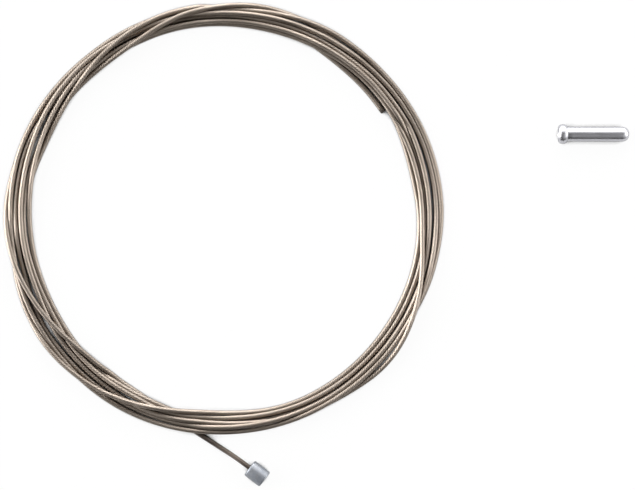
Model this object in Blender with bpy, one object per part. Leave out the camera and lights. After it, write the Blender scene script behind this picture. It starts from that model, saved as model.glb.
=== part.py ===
"""Bicycle gear cable, coiled flat as it is sold, with its cast nipple and its crimp-on end cap.

The coil lies on the table. Its last turn is bent straight and carries the nipple, the other end of the
cable lies free against the inside of the coil, and the end cap lies beside it, not yet crimped on.
Metres, +Z up, +Y towards the top of the view from above. The origin is under the middle of the whole set.
"""

import math

import bpy
from mathutils import Matrix, Vector

# Cable: a strand of nineteen steel wires, held here as its smooth outer shape.
CABLE_DIAMETER = 0.0012

# Coil: seven turns that lie in two layers, four on the table and three in the grooves between them.
COIL_MEAN_RADIUS = 0.0500
TURN_PITCH = 0.00167
TURNS_ON_TABLE = 4
COIL_SEGMENTS = 88
SECTION_POINTS = 26

# Lead: the straight stretch from the rim of the coil to the nipple.
LEAD_CLOCK_DEG = 236.2
LEAD_LENGTH = 0.0116
LEAD_SWING_DEG = 4.0
# Points of the lead: share of its length, side step in metres, share of its climb to the nipple's axis.
LEAD_ROUTE = (
    (0.00, 0.00000, 0.00),
    (0.20, -0.00004, 0.05),
    (0.40, -0.00010, 0.24),
    (0.60, -0.00014, 0.56),
    (0.80, -0.00011, 0.86),
    (1.00, 0.00000, 1.00),
)

# Tail: the free end of the cable, which lies against the inside of the coil.
TAIL_END_CLOCK_DEG = 34.3
TAIL_JOIN_CLOCK_DEG = 56.0

# Nipple: a barrel of cast zinc on the end of the lead, lying on its side.
NIPPLE_DIAMETER = 0.0044
NIPPLE_LENGTH = 0.00475
NIPPLE_ROUNDING = 0.0004

# End cap: a drawn aluminium thimble with a rolled bead round its mouth.
CAP_LENGTH = 0.0173
CAP_WALL = 0.0006
CAP_CLEARANCE = 0.0012
CAP_END_WALL = 0.0010
CAP_DOME_LENGTH = 0.0017
CAP_FLARE = 0.00025
BEAD_HEIGHT = 0.0006
BEAD_LENGTH = 0.0022
CAP_FROM_COIL = 0.0282
CAP_UP_FROM_CENTRE = 0.02075

# Bodies that touch on the real cable keep this gap here.
GAP = 0.0003

# How finely round shapes are drawn.
ROUND_SEGMENTS = 40
ROUNDING_STEPS = 3
BEAD_STEPS = 8
DOME_STEPS = 6
SMOOTH_BELOW_DEG = 35
CURVE_STEPS = 16
ROUTE_STEP_DIAMETERS = 2.0
TUBE_BEVEL_RESOLUTION = 2

CABLE_RADIUS = CABLE_DIAMETER / 2
COIL_WIDTH = (TURNS_ON_TABLE - 1) * TURN_PITCH + CABLE_DIAMETER
COIL_INNER_RADIUS = COIL_MEAN_RADIUS - COIL_WIDTH / 2
COIL_OUTER_RADIUS = COIL_MEAN_RADIUS + COIL_WIDTH / 2
NIPPLE_RADIUS = NIPPLE_DIAMETER / 2
CAP_BORE_RADIUS = (CABLE_DIAMETER + CAP_CLEARANCE) / 2
CAP_RADIUS = CAP_BORE_RADIUS + CAP_WALL
BEAD_RADIUS = CAP_RADIUS + BEAD_HEIGHT
CAP_BORE_BOTTOM = CAP_LENGTH - CAP_END_WALL


def clear_scene():
    for thing in list(bpy.data.objects):
        bpy.data.objects.remove(thing, do_unlink=True)


def metal(name, colour, roughness):
    """A plain metal finish in one colour."""
    material = bpy.data.materials.new(name)
    material.use_nodes = True
    shader = material.node_tree.nodes["Principled BSDF"]
    shader.inputs["Base Color"].default_value = (*colour, 1.0)
    shader.inputs["Metallic"].default_value = 1.0
    shader.inputs["Roughness"].default_value = roughness
    material.diffuse_color = (*colour, 1.0)
    return material


def arc(centre, radius, start_deg, end_deg, steps):
    """Points on an arc in a (radius, height) plane, both ends included."""
    points = []
    for step in range(steps + 1):
        angle = math.radians(start_deg + (end_deg - start_deg) * step / steps)
        points.append((centre[0] + radius * math.cos(angle), centre[1] + radius * math.sin(angle)))
    return points


def revolve(name, outline, segments, closed, finish):
    """A body turned about local +Z from (radius, height) points that run round it counter-clockwise.

    A closed outline makes a ring. An open one starts and ends on the axis.
    """
    vertices = []
    rows = []
    for radius, height in outline:
        if not closed and radius < 1e-9:
            rows.append([len(vertices)])
            vertices.append((0.0, 0.0, height))
            continue
        row = []
        for segment in range(segments):
            angle = 2 * math.pi * segment / segments
            row.append(len(vertices))
            vertices.append((radius * math.cos(angle), radius * math.sin(angle), height))
        rows.append(row)
    pairs = list(zip(rows, rows[1:]))
    if closed:
        pairs.append((rows[-1], rows[0]))
    faces = []
    for low, high in pairs:
        for segment in range(segments):
            following = (segment + 1) % segments
            if len(low) == 1:
                faces.append((low[0], high[following], high[segment]))
            elif len(high) == 1:
                faces.append((low[segment], low[following], high[0]))
            else:
                faces.append((low[segment], low[following], high[following], high[segment]))
    mesh = bpy.data.meshes.new(name)
    mesh.from_pydata(vertices, [], faces)
    mesh.validate()
    mesh.shade_smooth()
    mesh.set_sharp_from_angle(angle=math.radians(SMOOTH_BELOW_DEG))
    body = bpy.data.objects.new(name, mesh)
    bpy.context.scene.collection.objects.link(body)
    body.data.materials.append(finish)
    return body


def smooth_route(points, step):
    """Evenly spaced points, about a step apart, read from a smooth curve through the given ones."""
    padded = [2 * points[0] - points[1], *points, 2 * points[-1] - points[-2]]
    fine = [points[0]]
    for before, start, end, after in zip(padded, padded[1:], padded[2:], padded[3:]):
        for index in range(1, CURVE_STEPS + 1):
            t = index / CURVE_STEPS
            fine.append(
                0.5
                * (
                    2 * start
                    + (end - before) * t
                    + (2 * before - 5 * start + 4 * end - after) * t * t
                    + (3 * start - before - 3 * end + after) * t * t * t
                )
            )
    reach = [0.0]
    for start, end in zip(fine, fine[1:]):
        reach.append(reach[-1] + (end - start).length)
    count = max(2, round(reach[-1] / step))
    route = []
    place = 0
    for index in range(count + 1):
        wanted = reach[-1] * index / count
        while place < len(fine) - 2 and reach[place + 1] < wanted:
            place += 1
        share = (wanted - reach[place]) / (reach[place + 1] - reach[place])
        route.append(fine[place].lerp(fine[place + 1], min(share, 1.0)))
    return route


def tube(name, points, finish):
    """A stretch of plain cable along a route."""
    curve = bpy.data.curves.new(name, "CURVE")
    curve.dimensions = "3D"
    curve.bevel_depth = CABLE_RADIUS
    curve.bevel_resolution = TUBE_BEVEL_RESOLUTION
    curve.use_fill_caps = True
    spline = curve.splines.new("POLY")
    spline.points.add(len(points) - 1)
    for target, point in zip(spline.points, points):
        target.co = (*point, 1.0)
    body = bpy.data.objects.new(name, curve)
    bpy.context.scene.collection.objects.link(body)
    curve.materials.append(finish)
    return body


def on_clock(radius, clock_deg, height=0.0):
    """A point by its distance from the coil's axis and its angle from +X towards +Y."""
    angle = math.radians(clock_deg)
    return Vector((radius * math.cos(angle), radius * math.sin(angle), height))


def turn_centres():
    """(radius, height) of each turn in the coil's section."""
    centres = []
    for place in range(TURNS_ON_TABLE):
        centres.append((COIL_INNER_RADIUS + CABLE_RADIUS + place * TURN_PITCH, CABLE_RADIUS))
    rise = math.sqrt(max(CABLE_DIAMETER**2 - (TURN_PITCH / 2) ** 2, 0.0))
    for left, right in zip(centres[:], centres[1:TURNS_ON_TABLE]):
        centres.append(((left[0] + right[0]) / 2, CABLE_RADIUS + rise))
    return centres


def coil_outline():
    """The coil's section: flat underneath, round at its sides, ridged over the turns on top."""
    inner = (COIL_INNER_RADIUS + CABLE_RADIUS, CABLE_RADIUS)
    outer = (COIL_OUTER_RADIUS - CABLE_RADIUS, CABLE_RADIUS)
    outline = arc(inner, CABLE_RADIUS, 180, 270, ROUNDING_STEPS)
    outline += arc(outer, CABLE_RADIUS, 270, 360, ROUNDING_STEPS)
    centres = turn_centres()
    for index in range(1, SECTION_POINTS):
        # Cosine spacing puts more points where the sides are steep.
        radius = COIL_MEAN_RADIUS + COIL_WIDTH / 2 * math.cos(math.pi * index / SECTION_POINTS)
        tops = []
        for centre_radius, centre_height in centres:
            reach = CABLE_RADIUS**2 - (radius - centre_radius) ** 2
            if reach > 0:
                tops.append(centre_height + math.sqrt(reach))
        outline.append((radius, max(tops, default=CABLE_RADIUS)))
    return outline


def make_coil(finish):
    return revolve("cable_coil", coil_outline(), COIL_SEGMENTS, True, finish)


def lead_frame():
    """Where the lead leaves the rim, which way it runs and which way is its left."""
    along = on_clock(1.0, LEAD_CLOCK_DEG + 90)
    aside = on_clock(1.0, LEAD_CLOCK_DEG)
    # The lead is the tangent to the coil's inner turn, and runs out under all the others. Its end there is
    # square, so the corner on the coil's side is the one that keeps the gap.
    clear_radius = COIL_OUTER_RADIUS + GAP + CABLE_RADIUS
    start = on_clock(COIL_INNER_RADIUS, LEAD_CLOCK_DEG)
    start += along * math.sqrt(clear_radius**2 - COIL_INNER_RADIUS**2)
    return start, along, aside


def lead_points():
    start, along, aside = lead_frame()
    points = []
    for share, side_step, climb in LEAD_ROUTE:
        height = CABLE_RADIUS + climb * (NIPPLE_RADIUS - CABLE_RADIUS)
        points.append(start + along * (share * LEAD_LENGTH) + aside * side_step + Vector((0, 0, height)))
    return points


def make_lead(finish):
    route = smooth_route(lead_points(), ROUTE_STEP_DIAMETERS * CABLE_DIAMETER)
    return tube("cable_lead", route, finish)


def make_tail(finish):
    radius = COIL_INNER_RADIUS - GAP - CABLE_RADIUS
    sweep = TAIL_JOIN_CLOCK_DEG - TAIL_END_CLOCK_DEG
    step = ROUTE_STEP_DIAMETERS * CABLE_DIAMETER
    count = max(2, round(math.radians(sweep) * radius / step))
    route = []
    for index in range(count + 1):
        route.append(on_clock(radius, TAIL_END_CLOCK_DEG + sweep * index / count, CABLE_RADIUS))
    return tube("cable_tail", route, finish)


def along_ground(direction, mouth):
    """The placing of a turned body whose axis lies along a level direction, from a point on that axis."""
    up = Vector((0, 0, 1))
    turn = Matrix((up, direction.cross(up), direction)).transposed()
    return Matrix.Translation(mouth) @ turn.to_4x4()


def make_nipple(finish):
    face = NIPPLE_RADIUS - NIPPLE_ROUNDING
    outline = [(0.0, 0.0)]
    outline += arc((face, NIPPLE_ROUNDING), NIPPLE_ROUNDING, 270, 360, ROUNDING_STEPS)
    outline += arc((face, NIPPLE_LENGTH - NIPPLE_ROUNDING), NIPPLE_ROUNDING, 0, 90, ROUNDING_STEPS)
    outline += [(0.0, NIPPLE_LENGTH)]
    body = revolve("nipple", outline, ROUND_SEGMENTS, False, finish)
    start, along, _ = lead_frame()
    direction = Matrix.Rotation(math.radians(-LEAD_SWING_DEG), 3, "Z") @ along
    mouth = start + along * LEAD_LENGTH + direction * GAP + Vector((0, 0, NIPPLE_RADIUS))
    body.matrix_world = along_ground(direction, mouth)
    return body


def cap_outline():
    """Round the thimble from the middle of its domed end, over the bead, into the bore and to its bottom."""
    dome_start = CAP_LENGTH - CAP_DOME_LENGTH
    outline = [(0.0, CAP_BORE_BOTTOM)]
    outline.append((CAP_BORE_RADIUS, CAP_BORE_BOTTOM))
    outline.append((CAP_BORE_RADIUS, CAP_FLARE * 2))
    outline.append((CAP_BORE_RADIUS + CAP_FLARE, 0.0))
    for index in range(BEAD_STEPS + 1):
        angle = math.pi * index / BEAD_STEPS
        radius = CAP_RADIUS + BEAD_HEIGHT * math.sin(angle)
        outline.append((radius, BEAD_LENGTH / 2 * (1 - math.cos(angle))))
    for index in range(DOME_STEPS + 1):
        angle = math.pi / 2 * index / DOME_STEPS
        radius = CAP_RADIUS * math.cos(angle)
        outline.append((radius, dome_start + CAP_DOME_LENGTH * math.sin(angle)))
    outline[-1] = (0.0, CAP_LENGTH)
    return outline


def cap_tilt():
    """The cap rests on its bead and on the end of its barrel, so its axis dips towards the dome."""
    contact_distance = CAP_LENGTH - CAP_DOME_LENGTH - BEAD_LENGTH / 2
    return math.atan(BEAD_HEIGHT / contact_distance)


def make_cap(finish):
    body = revolve("end_cap", cap_outline(), ROUND_SEGMENTS, False, finish)
    tilt = cap_tilt()
    mouth = Vector((COIL_OUTER_RADIUS + CAP_FROM_COIL, CAP_UP_FROM_CENTRE, 0.0))
    mouth.z = BEAD_RADIUS * math.cos(tilt) + BEAD_LENGTH / 2 * math.sin(tilt)
    dip = Matrix.Rotation(tilt, 4, "Y")
    body.matrix_world = Matrix.Translation(mouth) @ dip @ Matrix.Rotation(math.pi / 2, 4, "Y")
    return body


def centre_on_origin(bodies):
    """Moves the whole set so that the origin is under the middle of its bounding box."""
    bpy.context.view_layer.update()
    graph = bpy.context.evaluated_depsgraph_get()
    corners = []
    for body in bodies:
        evaluated = body.evaluated_get(graph)
        mesh = evaluated.to_mesh()
        corners += [evaluated.matrix_world @ vertex.co for vertex in mesh.vertices]
        evaluated.to_mesh_clear()
    middle_x = (min(point.x for point in corners) + max(point.x for point in corners)) / 2
    middle_y = (min(point.y for point in corners) + max(point.y for point in corners)) / 2
    for body in bodies:
        body.matrix_world = Matrix.Translation((-middle_x, -middle_y, 0)) @ body.matrix_world


def main():
    clear_scene()
    steel = metal("stainless_strand", (0.50, 0.46, 0.42), 0.34)
    zinc = metal("cast_zinc", (0.52, 0.53, 0.56), 0.45)
    aluminium = metal("bright_aluminium", (0.82, 0.82, 0.84), 0.22)
    centre_on_origin(
        [make_coil(steel), make_lead(steel), make_tail(steel), make_nipple(zinc), make_cap(aluminium)]
    )


main()
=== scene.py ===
# %% [markdown]
# # A bicycle gear cable, coiled flat
#
# The object is an inner gear cable: about two metres of thin steel strand, with a zinc nipple cast on one
# end. A small aluminium end cap lies beside it. The photograph looks straight down on all of it.
#
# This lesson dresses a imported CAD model. The CAD model gives the place and the size of everything, and this
# script gives the look: the strand with its single wires, the turns that cross one another, and the metals.

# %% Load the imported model
import math

import bpy
import numpy as np
from mathutils import Matrix, Vector


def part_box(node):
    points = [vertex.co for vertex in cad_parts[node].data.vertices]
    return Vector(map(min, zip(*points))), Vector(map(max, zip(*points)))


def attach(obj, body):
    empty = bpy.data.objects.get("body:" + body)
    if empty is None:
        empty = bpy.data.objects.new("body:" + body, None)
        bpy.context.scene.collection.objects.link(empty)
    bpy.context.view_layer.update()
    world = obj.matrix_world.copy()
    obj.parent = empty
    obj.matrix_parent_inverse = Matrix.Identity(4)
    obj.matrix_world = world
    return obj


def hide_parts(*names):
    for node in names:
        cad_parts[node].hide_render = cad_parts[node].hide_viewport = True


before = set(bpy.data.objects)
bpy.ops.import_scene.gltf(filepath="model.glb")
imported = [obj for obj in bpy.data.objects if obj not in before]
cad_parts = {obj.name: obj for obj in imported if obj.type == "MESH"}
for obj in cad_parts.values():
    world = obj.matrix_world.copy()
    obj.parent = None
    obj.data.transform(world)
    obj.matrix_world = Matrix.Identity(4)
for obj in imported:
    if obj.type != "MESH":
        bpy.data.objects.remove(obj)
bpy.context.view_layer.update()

print("CAD nodes:", sorted(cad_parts))

# %% [markdown]
# ## Sizes that everything else hangs on
#
# A node's box says where the CAD model put it. The ring-shaped node of the coil gives the middle of the
# coil and the height of the table. The strand's own sizes are those of a common gear cable: nineteen wires
# in three layers, so the strand is five wires thick.

# %% Read the coil's place and set the strand's sizes
MM = 0.001
STRAND_DIAMETER = 1.2 * MM
STRAND_RADIUS = STRAND_DIAMETER / 2
WIRE_RADIUS = STRAND_DIAMETER / 10
OUTER_WIRES = 12
LAY_LENGTH = 10.2 * MM

coil_low, coil_high = (Vector(corner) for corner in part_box("cable_coil"))
coil_centre = (coil_low + coil_high) / 2
table_height = coil_low.z
print("coil centre", tuple(round(c, 5) for c in coil_centre), "table at", round(table_height, 5))

# %% [markdown]
# ## The camera
#
# The photograph was taken from straight above. A long lens from far away keeps the view free of
# perspective, so that a strand that lies on top of another doesn't drift outwards in the picture. The
# distance follows from the width of table that the picture shows.

# %% Put the camera straight above the set
PICTURE_WIDTH = 154.94 * MM
PICTURE_MIDDLE_FROM_COIL = Vector((22.62 * MM, -6.27 * MM, 0.0))
LENS = 300.0
SENSOR = 36.0

camera_data = bpy.data.cameras.new("overhead_camera")
camera_data.lens = LENS
camera_data.sensor_width = SENSOR
camera = bpy.data.objects.new("overhead_camera", camera_data)
camera.location = coil_centre + PICTURE_MIDDLE_FROM_COIL
camera.location.z = table_height + PICTURE_WIDTH * LENS / SENSOR
bpy.context.scene.collection.objects.link(camera)
bpy.context.scene.camera = camera
print("camera height", round(camera.location.z, 3))

# %% [markdown]
# ## Where each turn of the coil lies
#
# A coiled cable never winds like a machine-made spring. Each turn wanders between the inner and the outer
# edge of the bundle, dives under its neighbours and climbs over them again. A plain spiral would miss that,
# so each turn gets a list of places, read from the photograph: the clock angle (from +X towards +Y, in
# degrees), the distance from the coil's centre (in millimetres) and the layer (0 on the table, 1 on one turn,
# 2 on top of two).
#
# The list starts at the free end of the cable. At the end of each line of turns it carries on in the next.

# %% The lanes of the seven turns
TURN_LANES = (
    (
        (34.3, 46.6, 0), (53, 46.8, 0), (60, 47.3, 0), (68, 48.3, 0), (76, 49.5, 0), (84, 50.9, 0),
        (88, 51.3, 0.1), (93, 51.8, 0.4), (98, 52.1, 0.9), (103, 52.1, 1.4), (108, 51.9, 1.7),
        (118, 51.0, 2.1), (128, 49.8, 2.1), (138, 48.4, 1.9), (148, 47.6, 0.9), (153, 47.4, 0.4),
        (158, 47.4, 0), (168, 48.2, 0), (178, 49.7, 0), (188, 51.7, 0), (193, 52.6, 0.1),
        (203, 53.2, 0.8), (213, 53.4, 1.3), (218, 53.2, 1.7), (223, 52.8, 2), (233, 51.7, 2.1),
        (243, 50.1, 2.1), (253, 48.4, 1.9), (258, 47.8, 1.2), (263, 47.2, 0.5), (273, 47.2, 0),
        (283, 47.8, 0), (293, 47.9, 0), (303, 47.7, 0.2), (313, 47.6, 0.5), (323, 47.5, 0.8),
        (343, 47.6, 0.8), (353, 47.6, 0.5), (363, 47.4, 0.3), (370, 47.0, 0.2), (378, 47.1, 0.1),
        (388, 47.8, 0),
    ),
    (
        (34, 48.4, 0), (43, 49.4, 0), (53, 50.6, 0), (63, 51.8, 0.1), (68, 52.1, 0.3), (73, 52.4, 0.6),
        (78, 52.6, 1.0), (83, 52.6, 1.6), (88, 52.1, 2.1), (98, 51.3, 2.2), (103, 50.7, 2.1),
        (113, 48.8, 2), (118, 48.1, 1.5), (123, 47.8, 0.9), (128, 47.7, 0.3), (138, 48.0, 0),
        (158, 48.7, 0.1), (168, 49.0, 0.7), (178, 49.0, 1), (188, 48.8, 0.9), (193, 48.4, 0.9),
        (203, 48.0, 0.9), (208, 47.9, 0.9), (213, 48.1, 0.8), (218, 48.4, 0.8), (228, 48.6, 0.9),
        (238, 48.5, 0.9), (243, 48.4, 0.8), (248, 48.7, 0.9), (253, 49.2, 0.9), (258, 48.9, 0.9),
        (263, 48.5, 0.5), (273, 48.4, 0.3), (283, 48.6, 0.5), (293, 48.8, 0.9), (313, 48.7, 0.9),
        (333, 48.7, 0.9), (343, 48.8, 0.8), (353, 48.9, 0.5), (363, 48.9, 0.3), (373, 49.1, 0.7),
        (378, 49.2, 0.9), (388, 49.1, 1),
    ),
    (
        (34, 48.9, 1), (43, 48.9, 1), (53, 48.6, 0.9), (63, 48.4, 0.9), (78, 48.3, 0.9),
        (98, 48.4, 0.9), (113, 48.6, 0.7), (123, 48.9, 0.8), (133, 49.0, 0.5), (138, 49.5, 0.1),
        (143, 50.0, 0), (148, 50.6, 0.1), (153, 51.1, 0.5), (158, 51.4, 0.7), (163, 51.4, 0.8),
        (178, 51.0, 0.9), (188, 50.7, 0.9), (193, 50.5, 0.8), (198, 50.5, 0.8), (203, 50.9, 0.8),
        (208, 51.3, 0.9), (213, 51.4, 0.9), (223, 51.2, 0.9), (243, 51.1, 0.9), (258, 50.9, 0.9),
        (263, 50.8, 1), (273, 50.6, 1.2), (283, 50.4, 1), (303, 50.3, 1), (313, 50.1, 1),
        (323, 50.1, 1), (338, 50.2, 0.8), (343, 50.3, 0.8), (348, 50.2, 0.9), (353, 49.9, 1),
        (363, 49.9, 1), (373, 50.0, 1), (388, 50.2, 1),
    ),
    (
        (34, 50.0, 0.9), (43, 49.8, 0.9), (53, 49.5, 0.6), (63, 49.5, 0.4), (73, 49.5, 0.9),
        (83, 49.5, 0.9), (88, 49.5, 0.9), (98, 49.6, 0.8), (108, 49.9, 0.7), (113, 50.0, 0.8),
        (128, 50.1, 0.9), (133, 50.0, 0.8), (138, 49.8, 0.8), (148, 49.2, 0.9), (158, 48.6, 1),
        (168, 48.1, 1), (178, 47.6, 0.9), (188, 47.4, 0.8), (198, 47.1, 0.6), (208, 47.0, 0.6),
        (213, 47.1, 0.5), (218, 47.3, 0.2), (228, 47.7, 0), (238, 47.7, 0), (243, 47.7, 0.2),
        (248, 47.8, 0.9), (253, 48.1, 0.6), (258, 48.8, 0.2), (263, 49.4, 0), (268, 49.7, 0),
        (283, 49.7, 0), (293, 49.8, 0), (313, 50.0, 0), (323, 50.5, 0), (333, 51.3, 0),
        (343, 52.1, 0.3), (348, 52.2, 0.7), (358, 52.7, 0.9), (363, 52.9, 1), (383, 52.9, 1),
    ),
    (
        (34, 52.7, 1), (43, 52.5, 1), (53, 52.5, 1), (58, 52.6, 1), (63, 52.5, 1), (73, 51.9, 1.1),
        (78, 51.5, 1.1), (83, 51.3, 1.1), (88, 51.2, 1), (93, 51.1, 0.8), (98, 51.2, 0.6),
        (103, 51.7, 0.3), (118, 51.8, 0.2), (128, 51.7, 0.5), (138, 52.0, 0.7), (148, 52.3, 0.9),
        (158, 52.6, 1), (163, 52.7, 1), (173, 52.4, 0.9), (183, 52.1, 0.9), (193, 52.1, 0.9),
        (198, 52.3, 0.9), (213, 52.3, 1), (223, 52.2, 0.9), (228, 52.4, 0.8), (238, 52.5, 0.7),
        (248, 52.4, 0.8), (258, 52.2, 1), (263, 52.0, 1.2), (268, 51.9, 1), (288, 51.6, 1),
        (303, 51.3, 1), (323, 51.3, 1), (333, 51.3, 0.9), (338, 51.6, 0.9), (348, 51.5, 1),
        (358, 51.5, 1), (368, 51.7, 1), (383, 51.7, 1),
    ),
    (
        (34, 51.5, 1), (43, 51.2, 1), (53, 50.9, 1), (63, 50.7, 1), (73, 50.5, 1), (83, 50.3, 1),
        (93, 50.3, 0.9), (103, 50.6, 0.9), (113, 50.5, 0.9), (118, 50.6, 0.9), (123, 50.9, 0.9),
        (128, 51.1, 1), (138, 51.1, 1), (148, 50.9, 1), (158, 50.4, 1), (168, 50.0, 1), (178, 49.7, 1),
        (188, 49.4, 1), (198, 49.0, 0.9), (203, 48.9, 0.9), (208, 49.2, 0.9), (213, 49.5, 0.9),
        (223, 49.8, 1), (238, 49.8, 0.9), (243, 50.2, 0.9), (248, 50.4, 1), (258, 49.9, 1.2),
        (263, 49.6, 1.2), (268, 49.7, 1), (273, 49.8, 0.9), (278, 50.0, 0.6), (283, 50.3, 0.2),
        (288, 50.7, 0), (298, 51.4, 0.1), (303, 51.6, 0.5), (308, 52.0, 0.8), (313, 52.6, 1.2),
        (318, 52.9, 1.5), (323, 52.8, 1.8), (328, 52.3, 2), (338, 50.9, 2.1), (348, 49.2, 2.1),
        (353, 48.4, 1.9), (358, 48.1, 1.5), (363, 48.1, 1.3), (373, 48.1, 1.1), (383, 48.1, 1),
    ),
    (
        (34, 48.1, 1), (43, 48.1, 1), (53, 47.9, 0.9), (63, 47.6, 0.8), (73, 47.4, 0.7),
        (83, 47.5, 0.5), (98, 47.9, 0.3), (108, 48.1, 0.1), (118, 48.1, 0), (128, 49.0, 0),
        (138, 50.5, 0), (148, 51.6, 0), (158, 52.3, 0), (163, 52.7, 0.2), (168, 52.9, 0.6),
        (173, 53.2, 0.9), (178, 53.4, 1.3), (183, 53.3, 1.6), (188, 52.8, 2), (193, 52.2, 2.1),
        (203, 50.6, 2.1), (213, 48.8, 2), (218, 47.9, 1.5), (223, 47.2, 0.8), (228, 46.9, 0.3),
        (233, 46.9, 0),
    ),
)
print("lanes:", sum(len(turn) for turn in TURN_LANES), "places on", len(TURN_LANES), "turns")

# %% [markdown]
# ## The straight end
#
# After the seventh turn the cable leaves the circle. It runs dead straight on the table, under all the other
# turns, and then out to the nipple. The last stretch is given as a list of points: it climbs from the table
# to the axis of the fat nipple. These are the same points as the CAD model's.

# %% The lead's points
LEAD_TANGENT_DEG = 236.2
LEAD_TANGENT_RADIUS = 46.9
LEAD_POINTS = (
    (-0.026573, -0.047926, 0.000600),
    (-0.024623, -0.049184, 0.000680),
    (-0.022661, -0.050424, 0.000984),
    (-0.020711, -0.051682, 0.001496),
    (-0.018800, -0.052997, 0.001976),
    (-0.016933, -0.054379, 0.002200),
)
lead_start = Vector(LEAD_POINTS[0]) - coil_centre
lead_leaves_deg = math.degrees(math.atan2(lead_start.y, lead_start.x)) % 360
print("the lead leaves the coil at", round(lead_leaves_deg, 1), "degrees on the clock")

# %% [markdown]
# ## Let the turns settle
#
# The chosen lanes only say roughly where a turn lies. Real turns touch: they push one another aside, ride
# up on one another and sink until something holds them. A physics simulation of a two-metre rope is slow
# and never ends where the photograph shows it, so the turns are settled in a simpler way. All turns are
# sampled at the same clock angles, so at each angle the bundle is a small stack of circles in a plane. In
# each round every circle sinks a little and is drawn back to its lane. It is smoothed against its own
# neighbours along the cable, because steel wire won't kink, and circles that overlap push one another
# apart, mostly up and down.

# %% Spread the lanes over evenly spaced clock angles
SAMPLES_PER_TURN = 240
CLOCK_STEP = 360 / SAMPLES_PER_TURN
LAYER_HEIGHT = 0.86 * STRAND_DIAMETER
LEAD_SAMPLES = 12
LANE_SMOOTHING = 4


def smoothed(values, passes):
    """Evens out a row of numbers and keeps its two ends."""
    for _ in range(passes):
        values[1:-1] = 0.25 * values[:-2] + 0.5 * values[1:-1] + 0.25 * values[2:]
    return values


lane_clock = []
lane_radius = []
lane_height = []
for turn, places in enumerate(TURN_LANES):
    for clock, radius, layer in places:
        lane_clock.append(clock + 360 * turn)
        lane_radius.append(radius * MM)
        lane_height.append(STRAND_RADIUS + layer * LAYER_HEIGHT)
last_turn = 360 * (len(TURN_LANES) - 1)
straight_clock = last_turn + LEAD_TANGENT_DEG
for clock in np.linspace(straight_clock, last_turn + lead_leaves_deg, LEAD_SAMPLES):
    lane_clock.append(clock)
    lane_radius.append(LEAD_TANGENT_RADIUS * MM / math.cos(math.radians(clock - straight_clock)))
    lane_height.append(STRAND_RADIUS)

first_step = math.ceil(lane_clock[0] / CLOCK_STEP)
last_step = math.floor(lane_clock[-1] / CLOCK_STEP)
clocks = np.arange(first_step, last_step + 1) * CLOCK_STEP
wanted_radius = smoothed(np.interp(clocks, lane_clock, lane_radius), LANE_SMOOTHING)
wanted_height = smoothed(np.interp(clocks, lane_clock, lane_height), LANE_SMOOTHING)
print("settling", len(clocks), "circles")

# %% Settle the circles
ROUNDS = 900
PUSHES_PER_ROUND = 4
SINK = 0.0015 * STRAND_DIAMETER
PULL_TO_LANE = 0.25
WIRE_STIFFNESS = 0.25
SIDE_SHARE = 0.35
NEVER_ZERO = 1e-9

radii = wanted_radius.copy()
heights = wanted_height.copy()
on_straight = clocks >= straight_clock
for _ in range(ROUNDS):
    heights -= SINK
    radii += PULL_TO_LANE * (wanted_radius - radii)
    for row in (radii, heights):
        row[1:-1] += WIRE_STIFFNESS * (row[:-2] - 2 * row[1:-1] + row[2:])
    for _ in range(PUSHES_PER_ROUND):
        side_push = np.zeros_like(radii)
        up_push = np.zeros_like(heights)
        for turns_apart in range(1, len(TURN_LANES)):
            gap = turns_apart * SAMPLES_PER_TURN
            across = radii[gap:] - radii[:-gap]
            upward = heights[gap:] - heights[:-gap]
            distance = np.hypot(across, upward) + NEVER_ZERO
            overlap = np.maximum(STRAND_DIAMETER - distance, 0) / 2
            side_push[gap:] += SIDE_SHARE * overlap * across / distance
            side_push[:-gap] -= SIDE_SHARE * overlap * across / distance
            up_push[gap:] += overlap * upward / distance
            up_push[:-gap] -= overlap * upward / distance
        radii += side_push
        heights = np.maximum(heights + up_push, STRAND_RADIUS)
    radii[on_straight] = wanted_radius[on_straight]
    heights[on_straight] = STRAND_RADIUS
print("the coil is", round((heights.max() + STRAND_RADIUS) / MM, 2), "mm high")

# %% [markdown]
# ## One smooth route
#
# The settled circles and the lead's points make one list from the free end to the nipple. A smooth curve
# through them is read off at even steps. Each step is a twelfth of the strand's lay, the length in which a
# wire goes once round: then a wire moves on by exactly one place from ring to ring.

# %% Join the coil and the lead and space the points evenly
CASTING_DEPTH = 1.0 * MM
CURVE_PIECES = 6
STEP_LENGTH = LAY_LENGTH / OUTER_WIRES


def smooth_curve(points, pieces):
    """A Catmull-Rom curve through the given points, with some pieces between each two."""
    padded = np.vstack((2 * points[0] - points[1], points, 2 * points[-1] - points[-2]))
    before, start, end, after = padded[:-3], padded[1:-2], padded[2:-1], padded[3:]
    slope = end - before
    bend = 2 * before - 5 * start + 4 * end - after
    twist = 3 * start - before - 3 * end + after
    rows = [0.5 * (2 * start + slope * t + bend * t**2 + twist * t**3) for t in np.arange(pieces) / pieces]
    curve = np.stack(rows, axis=1).reshape(-1, 3)
    return np.vstack((curve, points[-1]))


def evenly_spaced(points, step):
    """Points on a line of many points, about a step apart, and the line's length."""
    reach = np.concatenate(([0.0], np.cumsum(np.linalg.norm(np.diff(points, axis=0), axis=1))))
    places = np.linspace(0.0, reach[-1], max(2, round(reach[-1] / step)) + 1)
    return np.stack([np.interp(places, reach, points[:, axis]) for axis in range(3)], axis=1), reach[-1]


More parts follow.
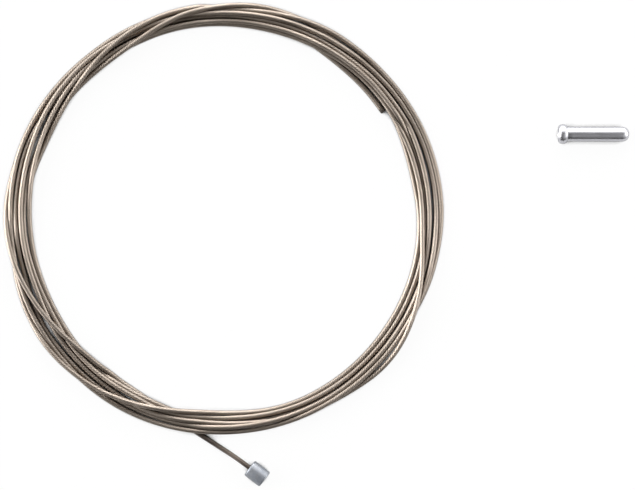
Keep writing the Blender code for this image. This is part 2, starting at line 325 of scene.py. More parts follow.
angles = np.radians(clocks)
turn_x = coil_centre.x + radii * np.cos(angles)
turn_y = coil_centre.y + radii * np.sin(angles)
turn_points = np.stack((turn_x, turn_y, table_height + heights), axis=1)
lead_points = np.array(LEAD_POINTS)
nipple_direction = Vector((0.790155, -0.612907, 0.0))
buried_end = lead_points[-1] + np.array(nipple_direction) * CASTING_DEPTH
route = np.vstack((turn_points[:-1], lead_points, buried_end))
route, strand_length = evenly_spaced(smooth_curve(route, CURVE_PIECES), STEP_LENGTH)
print("strand:", round(strand_length, 3), "m in", len(route), "rings")

# %% [markdown]
# ## The strand
#
# Twelve wires lie round the outside and make the strand's surface. Modelling each wire as its own tube
# would need millions of faces, and only their outer halves show. So the strand is one tube whose section
# has twelve lobes: for each wire two points on its crest and one in the valley beside it. The rings aren't
# turned, but the faces are joined three points further on from ring to ring, so the edges follow the wires
# as they wind round. This is mesh code, because no operator follows a route and twists a section with it.

# %% Rings of the strand
POINTS_PER_WIRE = 3
RING_POINTS = OUTER_WIRES * POINTS_PER_WIRE
CREST_HALF_ANGLE = math.radians(6.6)
VALLEY_DEPTH = 0.6 * WIRE_RADIUS
VALLEY_RADIUS = STRAND_RADIUS - VALLEY_DEPTH


def ring_outline():
    """Angle and radius of each point of one ring: valley, crest, crest, and so on."""
    wire_angle = 2 * math.pi / OUTER_WIRES
    outline_angles = []
    outline_radii = []
    for wire in range(OUTER_WIRES):
        middle = (wire + 0.5) * wire_angle
        outline_angles += [wire * wire_angle, middle - CREST_HALF_ANGLE, middle + CREST_HALF_ANGLE]
        outline_radii += [VALLEY_RADIUS, STRAND_RADIUS, STRAND_RADIUS]
    return np.array(outline_angles), np.array(outline_radii)


def route_frames(points):
    """For each point the direction of the route, the level direction across it and the one square to both."""
    along = np.gradient(points, axis=0)
    along /= np.linalg.norm(along, axis=1)[:, None]
    across = np.cross(along, (0.0, 0.0, 1.0))
    across /= np.linalg.norm(across, axis=1)[:, None]
    return along, across, np.cross(across, along)


outline_angles, outline_radii = ring_outline()
along, across, upright = route_frames(route)
ring_points = (
    route[:, None, :]
    + across[:, None, :] * (outline_radii * np.cos(outline_angles))[None, :, None]
    + upright[:, None, :] * (outline_radii * np.sin(outline_angles))[None, :, None]
)
print("ring points:", ring_points.shape[0] * ring_points.shape[1])

# %% Skin the rings into a mesh
ring_count = len(route)
LAY_SHIFT = POINTS_PER_WIRE

point_columns = np.arange(RING_POINTS)
ring_rows = np.arange(ring_count)[:, None]
shifted = (point_columns[None, :] + LAY_SHIFT * ring_rows) % RING_POINTS
corner = ring_rows * RING_POINTS + shifted
corner_next = ring_rows * RING_POINTS + (shifted + 1) % RING_POINTS
quads = np.stack((corner[:-1], corner_next[:-1], corner_next[1:], corner[1:]), axis=2).reshape(-1, 4)
end_faces = [corner[0][::-1].tolist(), corner[-1].tolist()]

strand_mesh = bpy.data.meshes.new("strand")
strand_mesh.from_pydata(ring_points.reshape(-1, 3).tolist(), [], quads.tolist() + end_faces)
strand_mesh.shade_smooth()
print("strand faces:", len(strand_mesh.polygons))

# %% [markdown]
# The strand also needs a map for its finish: how far along the cable a point is, and on which wire it lies.
# The material uses the first for slow changes along the cable and for the painted shade on the lead, and the
# second for streaks that follow each wire and for the dark grease and painted shade in the valleys.

# %% Give the strand its map along and round the wires
strand_map = strand_mesh.uv_layers.new(name="along_and_round")
distances = np.repeat(np.arange(ring_count - 1) * STEP_LENGTH, RING_POINTS)
sides = np.tile(point_columns / RING_POINTS, ring_count - 1)
side_width = 1 / RING_POINTS
corner_map = np.stack(
    (
        np.stack((distances, distances, distances + STEP_LENGTH, distances + STEP_LENGTH), axis=1),
        np.stack((sides, sides + side_width, sides + side_width, sides), axis=1),
    ),
    axis=2,
)
end_corners = np.zeros((2 * RING_POINTS, 2))
corner_map = np.vstack((corner_map.reshape(-1, 2), end_corners))
strand_map.data.foreach_set("uv", corner_map.reshape(-1).astype(np.float32))
strand_mesh.validate()
strand = bpy.data.objects.new("strand", strand_mesh)
bpy.context.scene.collection.objects.link(strand)
print("strand map:", len(strand_map.data), "corners")

# %% [markdown]
# ## Tools for modelling by hand
#
# The small pieces are modelled the way one would at the desk: add a primitive, go into edit mode, pick
# faces or edges and work on them. An operator acts on everything that is selected, so each piece starts
# with nothing selected, and faces are then picked by where they are.

# %% Helpers that select and pick


def nothing_selected():
    if bpy.context.object is not None and bpy.context.object.mode != "OBJECT":
        bpy.ops.object.mode_set(mode="OBJECT")
    bpy.ops.object.select_all(action="DESELECT")


def only_selected(piece):
    nothing_selected()
    piece.select_set(True)
    bpy.context.view_layer.objects.active = piece


def pick(piece, wanted, kind="FACE"):
    """In edit mode, selects just the faces, edges or vertices for which the test is true."""
    bpy.ops.mesh.select_mode(type=kind)
    bpy.ops.mesh.select_all(action="DESELECT")
    bpy.ops.object.mode_set(mode="OBJECT")
    items = {"FACE": piece.data.polygons, "EDGE": piece.data.edges, "VERT": piece.data.vertices}[kind]
    count = 0
    for item in items:
        item.select = bool(wanted(item))
        count += item.select
    bpy.ops.object.mode_set(mode="EDIT")
    return count


def close_and_smooth(piece, angle_deg):
    """Turns all faces outwards and smooths everything flatter than an angle."""
    bpy.ops.object.mode_set(mode="EDIT")
    bpy.ops.mesh.select_all(action="SELECT")
    bpy.ops.mesh.normals_make_consistent(inside=False)
    bpy.ops.object.mode_set(mode="OBJECT")
    bpy.ops.object.shade_smooth_by_angle(angle=math.radians(angle_deg))


print("helpers ready")

# %% [markdown]
# ## The free end of the cable
#
# The cable was cut with pliers. The nineteen wires end close together, some a hair longer than others, on a
# slightly slanted cut. One wire end is modelled with a rounded rim, then copied to each place in the
# strand: one in the middle, six round it and twelve outside.

# %% Model one wire end and copy it to nineteen places
WIRE_END_LENGTH = 1.1 * MM
WIRE_END_RADIUS = 0.97 * WIRE_RADIUS
WIRE_END_RIM = 0.03 * MM
WIRE_END_SIDES = 14
WIRE_END_BURIED = 0.8 * MM
WIRES_IN_LAYERS = (1, 6, OUTER_WIRES)
CUT_SLANT = 0.35
LONGER_BY = (0.0, 0.05, -0.04, 0.09, 0.02, -0.06, 0.07)

nothing_selected()
bpy.ops.mesh.primitive_cylinder_add(vertices=WIRE_END_SIDES, radius=WIRE_END_RADIUS, depth=WIRE_END_LENGTH)
first_wire_end = bpy.context.object
bpy.ops.object.mode_set(mode="EDIT")
pick(first_wire_end, lambda face: face.normal.z > 0.9)
bpy.ops.mesh.bevel(offset=WIRE_END_RIM, segments=2, affect="EDGES")
bpy.ops.object.mode_set(mode="OBJECT")

end_axis = Vector(-along[0])
end_side = Vector(across[0])
end_up = Vector(upright[0])
end_turn = Matrix((end_side, end_up, end_axis)).transposed().to_4x4()

wire_ends = []
for layer, wires in enumerate(WIRES_IN_LAYERS):
    for wire in range(wires):
        angle = 2 * math.pi * (wire + 0.5) / wires
        place_side = 2 * WIRE_RADIUS * layer * math.cos(angle)
        place_up = 2 * WIRE_RADIUS * layer * math.sin(angle)
        longer = CUT_SLANT * place_up + LONGER_BY[(wire + 2 * layer) % len(LONGER_BY)] * MM
        outward = WIRE_END_LENGTH / 2 - WIRE_END_BURIED + longer
        place = Vector(route[0]) + end_side * place_side + end_up * place_up + end_axis * outward
        copy = first_wire_end.copy()
        copy.data = first_wire_end.data.copy()
        copy.matrix_world = Matrix.Translation(place) @ end_turn
        bpy.context.scene.collection.objects.link(copy)
        wire_ends.append(copy)
bpy.data.objects.remove(first_wire_end, do_unlink=True)
nothing_selected()
for wire_end in wire_ends:
    wire_end.select_set(True)
bpy.context.view_layer.objects.active = wire_ends[0]
bpy.ops.object.join()
cut_end = bpy.context.object
cut_end.name = "cut_wire_ends"
bpy.ops.object.transform_apply(location=True, rotation=True, scale=True)
close_and_smooth(cut_end, angle_deg=40)
print("wire ends:", len(wire_ends), "in", len(cut_end.data.polygons), "faces")

# %% [markdown]
# ## The nipple
#
# The nipple is zinc, cast round the end of the strand in a two-part mould. It is a barrel with rounded
# rims. The cable leaves one end through a small sunk cone, the other end has a shallow round dimple from
# the ejector pin, and a fine raised line along two sides shows where the mould's halves met.
#
# It starts as a cylinder at the origin, standing up, because that makes the picking simple. At the end it
# is laid down at the lead and its place is applied.

# %% Barrel with rounded rims
NIPPLE_RADIUS = 2.2 * MM
NIPPLE_LENGTH = 4.75 * MM
NIPPLE_RIM = 0.4 * MM
NIPPLE_RIM_PIECES = 5
NIPPLE_SIDES = 96

nothing_selected()
bpy.ops.mesh.primitive_cylinder_add(vertices=NIPPLE_SIDES, radius=NIPPLE_RADIUS, depth=NIPPLE_LENGTH)
nipple = bpy.context.object
nipple.name = "nipple_casting"
half_length = NIPPLE_LENGTH / 2
bpy.ops.object.mode_set(mode="EDIT")
flat_ends = pick(nipple, lambda face: abs(face.normal.z) > 0.9)
bpy.ops.mesh.bevel(offset=NIPPLE_RIM, segments=NIPPLE_RIM_PIECES, affect="EDGES")
print("nipple: flat ends found", flat_ends)

# %% Sunk cone at the mouth and dimple at the far end
SLACK = 0.01 * MM
MOUTH_RING = 1.12 * MM
MOUTH_STEPS = ((0.24 * MM, 0.2 * MM), (0.2 * MM, 0.25 * MM))
DIMPLE_RING = 1.05 * MM
DIMPLE_STEPS = ((0.1 * MM, 0.084 * MM), (0.12 * MM, 0.056 * MM))


def sink_middle(ring_width, steps):
    """Insets the picked flat end by a ring that stays level, and then by steps of (width, depth) inwards."""
    bpy.ops.mesh.inset(thickness=ring_width - NIPPLE_RIM, depth=0)
    for width, depth in steps:
        bpy.ops.mesh.inset(thickness=width, depth=-depth)


pick(nipple, lambda face: face.normal.z < -0.99 and face.center.z < SLACK - half_length)
sink_middle(MOUTH_RING, MOUTH_STEPS)
pick(nipple, lambda face: face.normal.z > 0.99 and face.center.z > half_length - SLACK)
sink_middle(DIMPLE_RING, DIMPLE_STEPS)
print("nipple: mouth and dimple sunk")

# %% Raised line where the mould's halves met
LINE_HEIGHT = 0.045 * MM
LINE_INSET = 0.02 * MM


def on_mould_line(face):
    """The narrow faces of the barrel at its two sides."""
    reach = math.hypot(face.center.x, face.center.y)
    return reach > NIPPLE_RADIUS * 0.99 and abs(face.normal.z) < 0.1 and abs(face.normal.x) > 0.9993


line_faces = pick(nipple, on_mould_line)
bpy.ops.mesh.inset(thickness=LINE_INSET, depth=LINE_HEIGHT)
bpy.ops.object.mode_set(mode="OBJECT")
print("nipple: faces on the mould line", line_faces)

# %% Lay the nipple down at the lead
MOUTH_FROM_LEAD = 0.3 * MM
NIPPLE_ROLL_DEG = 28

mouth = Vector(LEAD_POINTS[-1]) + nipple_direction * MOUTH_FROM_LEAD
up_axis = Vector((0, 0, 1))
lying = Matrix((up_axis.cross(nipple_direction), up_axis, nipple_direction)).transposed()
roll = Matrix.Rotation(math.radians(NIPPLE_ROLL_DEG), 3, nipple_direction)
only_selected(nipple)
nipple.matrix_world = Matrix.Translation(mouth + nipple_direction * half_length) @ (roll @ lying).to_4x4()
bpy.ops.object.transform_apply(location=True, rotation=True, scale=True)
close_and_smooth(nipple, angle_deg=32)
print("nipple mouth at", tuple(round(c, 5) for c in mouth))

# %% [markdown]
# ## The end cap
#
# The end cap is drawn from aluminium sheet, as a thimble is: a thin barrel with a domed end, and a round
# bead where its mouth was rolled outwards. It slips over the cut wires and is pinched flat there, but this
# one is new.
#
# It is built as one would draw it out by hand. A circle becomes the rim of the mouth. It is extruded and
# scaled ring by ring, out over the bead, along the barrel and round the dome, and its last ring is merged
# to a point. Then the first circle is extruded the other way, into the bore.

# %% Grow a thimble from one circle
CAP_LENGTH = 17.3 * MM
CAP_RADIUS = 1.8 * MM
CAP_BORE = 1.2 * MM
CAP_END_WALL = 1.0 * MM
RIM_RADIUS = CAP_BORE + 0.18 * MM
BEAD_FOOT_RADIUS = CAP_BORE + 0.3 * MM
BEAD_RADIUS = 2.4 * MM
BEAD_LENGTH = 2.2 * MM
BEAD_FULLNESS = 0.8
BEAD_STEPS = 16
NECK_LENGTH = 0.25 * MM
NECK_DEPTH = 0.03 * MM
BARREL_STEPS = 12
DOME_LENGTH = 1.7 * MM
DOME_FULLNESS = 0.75
DOME_STEPS = 12
CAP_SIDES = 72


def outside_rings():
    """(height, radius) of the rings from the mouth's rim over the bead and the barrel to the dome."""
    rings = []
    for step in range(1, BEAD_STEPS + 1):
        angle = math.pi * step / BEAD_STEPS
        base = BEAD_FOOT_RADIUS + (CAP_RADIUS - BEAD_FOOT_RADIUS) * step / BEAD_STEPS
        swell = math.sin(angle) ** BEAD_FULLNESS
        rings.append((BEAD_LENGTH / 2 * (1 - math.cos(angle)), base + (BEAD_RADIUS - base) * swell))
    for share in (0.3, 0.6, 1.0):
        hollow = NECK_DEPTH * math.sin(math.pi * share)
        rings.append((BEAD_LENGTH + NECK_LENGTH * share, CAP_RADIUS - hollow))
    barrel_start = BEAD_LENGTH + NECK_LENGTH
    barrel_end = CAP_LENGTH - DOME_LENGTH
    for step in range(1, BARREL_STEPS + 1):
        rings.append((barrel_start + (barrel_end - barrel_start) * step / BARREL_STEPS, CAP_RADIUS))
    for step in range(1, DOME_STEPS):
        angle = math.pi / 2 * step / DOME_STEPS
        shrink = math.cos(angle) ** DOME_FULLNESS
        rings.append((barrel_end + DOME_LENGTH * math.sin(angle), CAP_RADIUS * shrink))
    rings.append((CAP_LENGTH, 0.0))
    return rings


def inside_rings():
    """(height, radius) of the rings from the mouth's rim down the bore to its round bottom."""
    bottom = CAP_LENGTH - CAP_END_WALL
    straight = [(0.12 * MM, CAP_BORE + 0.06 * MM), (0.5 * MM, CAP_BORE), (bottom - 0.6 * MM, CAP_BORE)]
    rounded = [(bottom - 0.15 * MM, 0.85 * CAP_BORE), (bottom, 0.4 * CAP_BORE), (bottom, 0.0)]
    return straight + rounded


def grow(height, radius, rings):
    """Extrudes the selected ring from place to place. A radius of nothing merges it to a point."""
    for next_height, next_radius in rings:
        bpy.ops.mesh.extrude_region_move(TRANSFORM_OT_translate={"value": (0, 0, next_height - height)})
        if next_radius == 0.0:
            bpy.ops.mesh.merge(type="CENTER")
            break
        scale = next_radius / radius
        bpy.ops.transform.resize(value=(scale, scale, 1), center_override=(0, 0, next_height))
        height, radius = next_height, next_radius


def on_rim(vertex):
    """The points of the first circle, at the mouth's rim."""
    return vertex.co.z < SLACK and vertex.co.xy.length < RIM_RADIUS * 1.001


nothing_selected()
bpy.ops.mesh.primitive_circle_add(vertices=CAP_SIDES, radius=RIM_RADIUS)
end_cap = bpy.context.object
end_cap.name = "end_cap_thimble"
bpy.ops.object.mode_set(mode="EDIT")
bpy.ops.mesh.select_mode(type="VERT")
bpy.ops.mesh.select_all(action="SELECT")
grow(0.0, RIM_RADIUS, outside_rings())
rim_found = pick(end_cap, on_rim, "VERT")
grow(0.0, RIM_RADIUS, inside_rings())
bpy.ops.object.mode_set(mode="OBJECT")
print("end cap: rim of", rim_found, "points,", len(end_cap.data.polygons), "faces")

# %% [markdown]
# The bead is thicker than the barrel, so the cap lies a little tilted: the bead and the far end of the
# barrel touch the table.

# %% Lay the end cap down where the CAD model has it
cap_low, cap_high = (Vector(corner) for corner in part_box("end_cap"))
cap_tilt = math.atan((BEAD_RADIUS - CAP_RADIUS) / (CAP_LENGTH - DOME_LENGTH - BEAD_LENGTH / 2))
mouth_x = cap_low.x + BEAD_LENGTH / 2 * (1 - math.cos(cap_tilt))
mouth_y = (cap_low.y + cap_high.y) / 2
mouth_z = table_height + BEAD_RADIUS * math.cos(cap_tilt) + BEAD_LENGTH / 2 * math.sin(cap_tilt)
cap_mouth = Vector((mouth_x, mouth_y, mouth_z))
only_selected(end_cap)
end_cap.matrix_world = Matrix.Translation(cap_mouth) @ Matrix.Rotation(math.pi / 2 + cap_tilt, 4, "Y")
bpy.ops.object.transform_apply(location=True, rotation=True, scale=True)
close_and_smooth(end_cap, angle_deg=50)
print("end cap mouth at", tuple(round(c, 5) for c in cap_mouth))

# %% [markdown]
# ## Materials
#
# All three metals use the Principled shader with full metal, and what sets them apart is colour, roughness
# and the marks of how they were made. A small helper adds nodes, so that each recipe reads from top to
# bottom. Noise seldom leaves its middle range, so a spread often stretches 0.3 to 0.7 over the wanted range.

# %% A helper that builds node recipes


class Recipe:
    """A new material and short ways to add and link its nodes."""

    def __init__(self, name):
        self.material = bpy.data.materials.new(name)
        self.material.use_nodes = True
        self.tree = self.material.node_tree
        self.shader = self.tree.nodes["Principled BSDF"]

    def node(self, kind, **settings):
        made = self.tree.nodes.new(kind)
        for key, value in settings.items():
            setattr(made, key, value)
        return made

    def link(self, source, target):
        self.tree.links.new(source, target)

    def value(self, source, target):
        """Links an output, or sets a plain number."""
        if isinstance(source, (int, float)):
            target.default_value = source
        else:
            self.link(source, target)

    def math(self, operation, first, second=0.0):
        made = self.node("ShaderNodeMath", operation=operation)
        self.value(first, made.inputs[0])
        self.value(second, made.inputs[1])
        return made.outputs[0]

    def blend(self, share, first, second):
        """Mixes two colours, each a tuple or an output."""
        made = self.node("ShaderNodeMix", data_type="RGBA")
        self.value(share, made.inputs["Factor"])
        for colour, target in ((first, made.inputs[6]), (second, made.inputs[7])):
            if isinstance(colour, tuple):
                target.default_value = (*colour, 1.0)
            else:
                self.link(colour, target)
        return made.outputs[2]

    def multiplied(self, first, second):
        """Multiplies two colours, each an output."""
        made = self.node("ShaderNodeMix", data_type="RGBA", blend_type="MULTIPLY")
        made.inputs["Factor"].default_value = 1.0
        self.link(first, made.inputs[6])
        self.link(second, made.inputs[7])
        return made.outputs[2]

    def spread(self, source, low, high, new_low, new_high):
        """Maps a range of numbers to another one, held at its ends."""
        made = self.node("ShaderNodeMapRange")
        self.link(source, made.inputs["Value"])
        for name, number in zip(("From Min", "From Max", "To Min", "To Max"), (low, high, new_low, new_high)):
            made.inputs[name].default_value = number
        return made.outputs["Result"]

    def noise(self, coordinates, scale, detail, stretch=(1, 1, 1)):
        mapping = self.node("ShaderNodeMapping")
        mapping.inputs["Scale"].default_value = stretch
        self.link(coordinates, mapping.inputs["Vector"])
        made = self.node("ShaderNodeTexNoise")
        made.inputs["Scale"].default_value = scale
        made.inputs["Detail"].default_value = detail
        self.link(mapping.outputs[0], made.inputs["Vector"])
        return made.outputs["Fac"]

    def metal(self, colour, roughness):
        """Makes the surface a metal. The colour is an output, the roughness an output or a number."""
        self.link(colour, self.shader.inputs["Base Color"])
        self.value(roughness, self.shader.inputs["Roughness"])
        self.shader.inputs["Metallic"].default_value = 1.0

    def bump(self, height, strength, distance):
        made = self.node("ShaderNodeBump")
        made.inputs["Strength"].default_value = strength
        made.inputs["Distance"].default_value = distance
        self.link(height, made.inputs["Height"])
        self.link(made.outputs[0], self.shader.inputs["Normal"])


print("recipe helper ready")

# %% [markdown]
# ### Stainless strand
#
# Drawn stainless wire has a warm grey sheen, with fine streaks along each wire from the drawing die. Every
# wire took the light a little differently in the photograph, and the valleys between the wires are painted
# nearly black: partly grease, partly painted shade that stands in for the shadow in the valleys. The map's
# second number, times twelve, counts the wires: its whole part names the wire and its fraction says how far
# across the wire a point lies.
#
# The deep grooves between turns are darkened too, partly for grime and partly as painted shade for the shadow
# in them. An ambient occlusion node finds those: it says how much of the near surroundings of a point is
# open. The straight lead to the nipple is darker than the coil, as in the photograph: its colours are
# multiplied by a painted shade.

# %% Strand finish
WARM_STEEL_DARK = (0.60, 0.51, 0.43)
WARM_STEEL_LIGHT = (0.70, 0.605, 0.52)
DULLEST_WIRE = (0.74, 0.73, 0.72)
FULL_COLOUR = (1.0, 1.0, 1.0)
# Grease and painted shade in the valleys between the wires.
VALLEY_GREASE_AND_SHADE = (0.055, 0.043, 0.035)
VALLEY_DARKENING_SHARE = 0.85
# Grime and painted shade in the grooves between turns.
GROOVE_GRIME_AND_SHADE = (0.03, 0.024, 0.02)
# Painted shade on the straight lead to the nipple.
LEAD_PAINTED_SHADE = (0.33, 0.32, 0.32)
PATCHES_PER_METRE = 60.0
SHADES_PER_METRE = 18.0
WIRES_APART = 7.3
STREAKS = (160.0, 900.0, 1.0)
VALLEY_ROUGHER_BY = 0.25
GROOVE_WIDTH = 0.7 * MM
LEAD_SHADING_FROM = strand_length - 24 * MM
LEAD_SHADING_FULL = strand_length - 16 * MM


def strand_finish():
    recipe = Recipe("stainless_strand_finish")
    uv = recipe.node("ShaderNodeUVMap", uv_map="along_and_round").outputs[0]
    parts = recipe.node("ShaderNodeSeparateXYZ")
    recipe.link(uv, parts.inputs[0])
    along_cable = parts.outputs["X"]
    wire_count = recipe.math("MULTIPLY", parts.outputs["Y"], float(OUTER_WIRES))
    wire_number = recipe.math("FLOOR", wire_count)
    across_wire = recipe.math("FRACT", wire_count)
    from_crest = recipe.math("ABSOLUTE", recipe.math("SUBTRACT", across_wire, 0.5))
    valley = recipe.spread(from_crest, 0.26, 0.48, 0.0, 1.0)

    object_place = recipe.node("ShaderNodeTexCoord").outputs["Object"]
    patches = recipe.noise(object_place, scale=PATCHES_PER_METRE, detail=3.0)
    patches = recipe.spread(patches, 0.35, 0.65, 0.0, 1.0)
    body_colour = recipe.blend(patches, WARM_STEEL_DARK, WARM_STEEL_LIGHT)

    wire_seed = recipe.node("ShaderNodeCombineXYZ")
    recipe.link(recipe.math("MULTIPLY", along_cable, SHADES_PER_METRE), wire_seed.inputs["X"])
    recipe.link(recipe.math("MULTIPLY", wire_number, WIRES_APART), wire_seed.inputs["Y"])
    wire_shade = recipe.noise(wire_seed.outputs[0], scale=1.0, detail=1.0)
    wire_shade = recipe.spread(wire_shade, 0.3, 0.7, 0.0, 1.0)
    tinted = recipe.multiplied(body_colour, recipe.blend(wire_shade, DULLEST_WIRE, FULL_COLOUR))
    # The valleys between the wires are painted dark: partly grease, partly painted shade.
    with_valley_grease_and_shade = recipe.blend(recipe.math("MULTIPLY", valley, VALLEY_DARKENING_SHARE), tinted, VALLEY_GREASE_AND_SHADE)

    # Painted shade and grime in the grooves between turns, where ambient occlusion finds little open space.
    groove = recipe.node("ShaderNodeAmbientOcclusion", samples=6)
    groove.inputs["Distance"].default_value = GROOVE_WIDTH
    open_share = recipe.spread(groove.outputs["AO"], 0.2, 0.7, 0.6, 1.0)
    with_groove_grime_and_shade = recipe.blend(open_share, GROOVE_GRIME_AND_SHADE, with_valley_grease_and_shade)
    # Painted shade on the lead, growing over the last stretch of the strand.
    lead_shading_share = recipe.spread(along_cable, LEAD_SHADING_FROM, LEAD_SHADING_FULL, 0.0, 1.0)
    lead_painted_shade = recipe.blend(lead_shading_share, FULL_COLOUR, LEAD_PAINTED_SHADE)

    streaks = recipe.noise(uv, scale=1.0, detail=3.0, stretch=STREAKS)
    worn = recipe.spread(streaks, 0.3, 0.7, 0.26, 0.36)
    rough = recipe.math("ADD", worn, recipe.math("MULTIPLY", valley, VALLEY_ROUGHER_BY))
    recipe.metal(recipe.multiplied(with_groove_grime_and_shade, lead_painted_shade), rough)
    recipe.bump(streaks, strength=0.25, distance=0.02 * MM)
    return recipe.material


strand_mesh.materials.append(strand_finish())
print("strand finish:", len(strand_mesh.materials[0].node_tree.nodes), "nodes")

# %% [markdown]
# ### Cut wires, cast zinc and bright aluminium
#
# The cut ends are dull, with a dark colour that is partly the smear of the pliers and partly painted shade
# for the end faces, which lie in shadow. Zinc out of a mould is matt, slightly blue and faintly mottled, with
# a grain too fine to see one by one. The aluminium is bright, with hair-fine lines along the way that the
# barrel was drawn, and a few soft dents from lying loose in a bag.

# %% The other three finishes
# Dark colours of the cut ends: smear of the pliers and painted shade.
SHADED_CUT_DARK = (0.10, 0.085, 0.075)
SHADED_CUT_LIGHT = (0.30, 0.27, 0.25)
ZINC_DARK = (0.34, 0.365, 0.41)
ZINC_LIGHT = (0.43, 0.445, 0.475)
ALUMINIUM_DARK = (0.78, 0.78, 0.82)
ALUMINIUM_LIGHT = (0.88, 0.88, 0.93)
DRAWN_LINES = (120.0, 9000.0, 9000.0)


def cut_finish():
    recipe = Recipe("cut_wire_finish")
    place = recipe.node("ShaderNodeTexCoord").outputs["Object"]
    smears = recipe.noise(place, scale=5000.0, detail=3.0)
    # The cut ends' colour is darkened with painted shade.
    recipe.metal(recipe.blend(smears, SHADED_CUT_DARK, SHADED_CUT_LIGHT), 0.5)
    recipe.bump(smears, strength=0.4, distance=0.03 * MM)
    return recipe.material


def zinc_finish():
    recipe = Recipe("cast_zinc_finish")
    place = recipe.node("ShaderNodeTexCoord").outputs["Object"]
    mottle = recipe.spread(recipe.noise(place, scale=900.0, detail=4.0), 0.35, 0.65, 0.0, 1.0)
    recipe.metal(recipe.blend(mottle, ZINC_DARK, ZINC_LIGHT), recipe.spread(mottle, 0.0, 1.0, 0.58, 0.48))
    grain = recipe.noise(place, scale=7000.0, detail=2.0)
    height = recipe.math("ADD", grain, recipe.math("MULTIPLY", mottle, 0.6))
    recipe.bump(height, strength=0.35, distance=0.03 * MM)
    return recipe.material


def aluminium_finish():
    recipe = Recipe("bright_aluminium_finish")
    place = recipe.node("ShaderNodeTexCoord").outputs["Object"]
    lines = recipe.noise(place, scale=1.0, detail=4.0, stretch=DRAWN_LINES)
    dents = recipe.noise(place, scale=420.0, detail=1.0)
    colour = recipe.blend(lines, ALUMINIUM_DARK, ALUMINIUM_LIGHT)
    recipe.metal(colour, recipe.spread(lines, 0.3, 0.7, 0.26, 0.36))
    height = recipe.math("ADD", recipe.math("MULTIPLY", lines, 0.06), dents)
    recipe.bump(height, strength=0.3, distance=0.05 * MM)
    return recipe.material


for piece, finish in ((cut_end, cut_finish()), (nipple, zinc_finish()), (end_cap, aluminium_finish())):
    piece.data.materials.clear()
    piece.data.materials.append(finish)
print("finishes:", [piece.data.materials[0].name for piece in (strand, cut_end, nipple, end_cap)])

# %% [markdown]
# ## The table
#
# The photograph's ground is pure white, with next to no shadow. The floor is a plain white sheet. Where the
# camera or a mirror-like metal looks at it, most of its light is its own white, so it stays white without
# more light on the object, and the rest takes the object's soft shadow. Two ambient occlusion nodes take some
# of its own white away as painted shade: the camera sees a painted dark shade in the narrow slots between
# turns, and the metal mirrors a painted shadow of the floor near the coil.

# %% White floor
FLOOR_SIZE = 6.0
FLOOR_COLOUR = (0.5, 0.5, 0.5, 1.0)
FLOOR_DROP = 0.02 * MM
OWN_WHITE_SEEN = 0.9
OWN_WHITE_IN_METAL = 0.4
OCCLUSION_SAMPLES = 8
SLOT_WIDTH = 2.5 * MM
NEAR_THE_COIL = 25 * MM

nothing_selected()
bpy.ops.mesh.primitive_plane_add(size=FLOOR_SIZE, location=(0, 0, table_height - FLOOR_DROP))
floor = bpy.context.object
floor.name = "white_floor"
recipe = Recipe("white_paper")
recipe.shader.inputs["Base Color"].default_value = FLOOR_COLOUR
recipe.shader.inputs["Roughness"].default_value = 0.9
recipe.shader.inputs["Specular IOR Level"].default_value = 0.2
rays = recipe.node("ShaderNodeLightPath")
mirrored = recipe.math("MAXIMUM", rays.outputs["Is Glossy Ray"], rays.outputs["Is Transmission Ray"])
seen_share = recipe.math("MULTIPLY", rays.outputs["Is Camera Ray"], OWN_WHITE_SEEN)
mirrored_share = recipe.math("MULTIPLY", mirrored, OWN_WHITE_IN_METAL)
# Two ambient occlusion nodes that paint shade into the floor's own white.
slot = recipe.node("ShaderNodeAmbientOcclusion", samples=OCCLUSION_SAMPLES)
slot.inputs["Distance"].default_value = SLOT_WIDTH
nearby = recipe.node("ShaderNodeAmbientOcclusion", samples=OCCLUSION_SAMPLES)
nearby.inputs["Distance"].default_value = NEAR_THE_COIL
# Painted shade in the slots between turns, and a painted shadow near the coil for the metal's mirror image.
slot_open = recipe.spread(slot.outputs["AO"], 0.4, 0.62, 0.0, 1.05)
near_open = recipe.spread(nearby.outputs["AO"], 0.7, 0.98, 0.0, 1.0)
seen_white = recipe.math("MULTIPLY", slot_open, rays.outputs["Is Camera Ray"])
mirrored_white = recipe.math("MULTIPLY", near_open, mirrored)
glow = recipe.node("ShaderNodeEmission")
recipe.link(recipe.math("ADD", seen_white, mirrored_white), glow.inputs["Strength"])
mixer = recipe.node("ShaderNodeMixShader")
recipe.link(recipe.math("MAXIMUM", seen_share, mirrored_share), mixer.inputs[0])
recipe.link(recipe.shader.outputs[0], mixer.inputs[1])
recipe.link(glow.outputs[0], mixer.inputs[2])
output = next(node for node in recipe.tree.nodes if node.type == "OUTPUT_MATERIAL")
recipe.link(mixer.outputs[0], output.inputs["Surface"])
floor.data.materials.append(recipe.material)
print("floor at", round(floor.location.z, 5))

# %% [markdown]
# ## Light
#
# Metal shows its surroundings, so the light is mostly a matter of what there is to reflect. In the
# photograph every turn is brightest on the side that faces the top of the picture. The turns at the far
# left and right shine most, and nothing is mirrored from overhead, where the camera hangs. So three large
# soft boxes stand low round the table, at the left, the top and the right of the picture, a weak one hangs
# halfway up at its lower right, and the rest of the room is dark. Each is a round patch of sky with soft
# edges. The camera itself sees plain white beyond the table.
#
# Each line gives a box's name, its azimuth and its elevation (in degrees), its brightness and how tight it
# is: a larger number makes a smaller patch.

# %% Four soft boxes in the sky
SOFT_BOXES = (
    ("left", 171, 14, 8.5, 9.0),
    ("top", 87, 14, 6.2, 8.0),
    ("right", 6, 16, 3.9, 11.0),
    ("high", 320, 45, 0.5, 8.0),
)
ROOM_LIGHT = 0.01

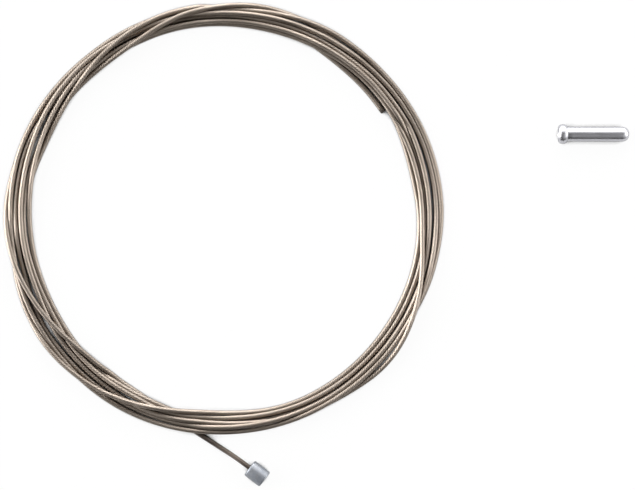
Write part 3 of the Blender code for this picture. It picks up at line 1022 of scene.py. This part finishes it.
world = bpy.data.worlds.new("studio")
bpy.context.scene.world = world
world.use_nodes = True
tree = world.node_tree
background = next(node for node in tree.nodes if node.type == "BACKGROUND")
directions = tree.nodes.new("ShaderNodeTexCoord").outputs["Generated"]


def sky_math(operation, first, second):
    """Adds a number node to the sky. Each input is an output or a plain number."""
    made = tree.nodes.new("ShaderNodeMath")
    made.operation = operation
    for source, target in ((first, made.inputs[0]), (second, made.inputs[1])):
        if isinstance(source, (int, float)):
            target.default_value = source
        else:
            tree.links.new(source, target)
    return made.outputs[0]


room = ROOM_LIGHT
for name, azimuth, elevation, brightness, tightness in SOFT_BOXES:
    level = math.cos(math.radians(elevation))
    towards = tree.nodes.new("ShaderNodeVectorMath")
    towards.operation = "DOT_PRODUCT"
    towards.label = name
    towards.inputs[1].default_value = (
        level * math.cos(math.radians(azimuth)),
        level * math.sin(math.radians(azimuth)),
        math.sin(math.radians(elevation)),
    )
    tree.links.new(directions, towards.inputs[0])
    nearness = sky_math("MULTIPLY", sky_math("SUBTRACT", towards.outputs["Value"], 1.0), tightness)
    patch = sky_math("MULTIPLY", sky_math("EXPONENT", nearness, 0.0), brightness)
    room = sky_math("ADD", patch, room)
seen_by_camera = tree.nodes.new("ShaderNodeLightPath").outputs["Is Camera Ray"]
lit_room = sky_math("MULTIPLY", room, sky_math("SUBTRACT", 1.0, seen_by_camera))
tree.links.new(sky_math("MAXIMUM", seen_by_camera, lit_room), background.inputs["Strength"])
background.inputs["Color"].default_value = (1.0, 1.0, 1.0, 1.0)
bpy.context.scene.view_settings.view_transform = "Standard"
print("soft boxes:", len(SOFT_BOXES))

# %% [markdown]
# ## What stands for what
#
# Each piece rides on the only body and replaces the plain CAD solids in its place.

# %% Tie the pieces to the CAD model
for piece in (strand, cut_end, nipple, end_cap):
    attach(piece, "root")
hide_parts("cable_coil", "cable_lead", "cable_tail")
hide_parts("nipple")
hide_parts("end_cap")
print("pieces tied")
